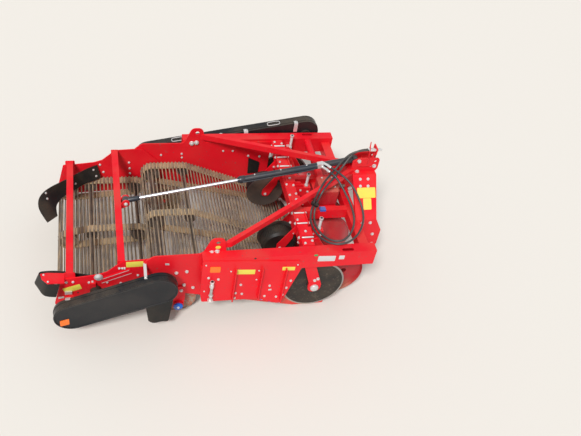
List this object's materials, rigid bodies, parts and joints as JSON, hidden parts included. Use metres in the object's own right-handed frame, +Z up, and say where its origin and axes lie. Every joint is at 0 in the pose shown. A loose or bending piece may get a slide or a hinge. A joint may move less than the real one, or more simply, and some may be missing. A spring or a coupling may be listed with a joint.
{
  "type": "potato windrower",
  "caption": "Tractor-carried two-row potato windrower: share, front and rear sieving webs, ridge rollers, coulters and a hydraulically lifted rear frame.",
  "frame": {"origin": "on the ground, under the middle of the machine's bounding box", "axes": "+X forward in the direction of travel, +Y to the left, +Z up"},
  "size_m": [3.1754, 1.93, 1.411],
  "materials": {
    "red_paint": "satin",
    "worn_steel": "worn",
    "zinc": "zinc plated",
    "black_plastic": "satin",
    "rubber": "matt",
    "chrome": "polished",
    "belt": "dusty",
    "rod_steel": "dusty",
    "black_paint": "satin",
    "cast_iron": "painted",
    "wheel_steel": "worn",
    "hose_rubber": "satin"
  },
  "bodies": {
    "main_frame": {"braces": "red_paint", "coulter_arms": "red_paint", "drive_shaft": "worn_steel", "drive_tube": "red_paint", "front_beam": "red_paint", "front_web_belts": "belt", "front_web_rods": "rod_steel", "front_web_rollers": "worn_steel", "gearbox": "cast_iron", "haulm_arms": "red_paint", "headstock_head": "red_paint", "headstock_legs": "red_paint", "hose_couplers": "zinc", "hose_holder": "red_paint", "input_shaft": "worn_steel", "left_drive_cover": "black_plastic", "left_outer_sheet": "red_paint", "left_rail": "red_paint", "left_roller_arms": "red_paint", "left_side_plate": "red_paint", "lift_hose": "hose_rubber", "link_pins": "zinc", "link_plates": "red_paint", "return_hose": "hose_rubber", "right_outer_sheet": "red_paint", "right_rail": "red_paint", "right_roller_arms": "red_paint", "right_side_plate": "red_paint", "share_carrier": "red_paint", "shares": "worn_steel", "spindles": "zinc", "stringers": "red_paint", "tool_beam": "red_paint", "wheel_legs": "red_paint"},
    "rear_frame": {"left_rear_plate": "red_paint", "right_rear_plate": "red_paint", "rear_cross_tubes": "red_paint", "rear_brackets": "red_paint", "rear_web_rollers": "worn_steel", "rear_web_belts": "belt", "rear_web_rods": "rod_steel", "right_chain_cover": "black_plastic", "left_flap": "rubber", "right_flap": "rubber", "cover_apron": "rubber"},
    "cylinder_barrel": {"cylinder_barrel": "black_paint", "barrel_saddle": "zinc"},
    "cylinder_rod": {"cylinder_rod": "chrome"},
    "left_support_wheel": {"left_support_wheel": "wheel_steel"},
    "left_coulter": {"left_coulter": "worn_steel"},
    "left_ridge_roller": {"left_ridge_roller": "red_paint"},
    "left_haulm_roller": {"left_haulm_roller": "rubber", "left_haulm_disc": "worn_steel"},
    "right_support_wheel": {"right_support_wheel": "wheel_steel"},
    "right_coulter": {"right_coulter": "worn_steel"},
    "right_ridge_roller": {"right_ridge_roller": "red_paint"},
    "right_haulm_roller": {"right_haulm_roller": "rubber", "right_haulm_disc": "worn_steel"}
  },
  "joints": [
    {"name": "left_support_wheel_spin", "type": "hinge", "parent": "main_frame", "child": "left_support_wheel", "pos_m": [-0.412, 0.655, 0.172], "axis": [0, 1, 0], "continuous": true},
    {"name": "left_coulter_spin", "type": "hinge", "parent": "main_frame", "child": "left_coulter", "pos_m": [0.855, 0.775, 0.335], "axis": [0, 1, 0], "continuous": true},
    {"name": "left_ridge_roller_spin", "type": "hinge", "parent": "main_frame", "child": "left_ridge_roller", "pos_m": [1.1, 0.38, 0.301], "axis": [0, 1, 0], "continuous": true},
    {"name": "left_haulm_roller_spin", "type": "hinge", "parent": "main_frame", "child": "left_haulm_roller", "pos_m": [0.56, 0.38, 0.54], "axis": [0, 1, 0], "continuous": true},
    {"name": "right_support_wheel_spin", "type": "hinge", "parent": "main_frame", "child": "right_support_wheel", "pos_m": [-0.412, -0.655, 0.172], "axis": [0, 1, 0], "continuous": true},
    {"name": "right_coulter_spin", "type": "hinge", "parent": "main_frame", "child": "right_coulter", "pos_m": [0.855, -0.775, 0.335], "axis": [0, 1, 0], "continuous": true},
    {"name": "right_ridge_roller_spin", "type": "hinge", "parent": "main_frame", "child": "right_ridge_roller", "pos_m": [1.1, -0.38, 0.301], "axis": [0, 1, 0], "continuous": true},
    {"name": "right_haulm_roller_spin", "type": "hinge", "parent": "main_frame", "child": "right_haulm_roller", "pos_m": [0.56, -0.38, 0.54], "axis": [0, 1, 0], "continuous": true},
    {"name": "rear_frame_lift", "type": "hinge", "parent": "main_frame", "child": "rear_frame", "pos_m": [-0.55, 0, 0.505], "axis": [0, 1, 0], "range_deg": [-6, 16]},
    {"name": "barrel_swing", "type": "hinge", "parent": "main_frame", "child": "cylinder_barrel", "pos_m": [1.3, 0, 1.212], "axis": [0, 1, 0], "range_deg": [-1.2, 2.2]},
    {"name": "rod_slide", "type": "slide", "parent": "cylinder_barrel", "child": "cylinder_rod", "axis": [0.9798, 0, 0.2001], "range_m": [-0.05, 0.12]}
  ],
  "couplings": [
    {"joint": "barrel_swing", "follows": "rear_frame_lift", "ratio": 0.091},
    {"joint": "rod_slide", "follows": "rear_frame_lift", "m_per_rad": 0.3358}
  ]
}
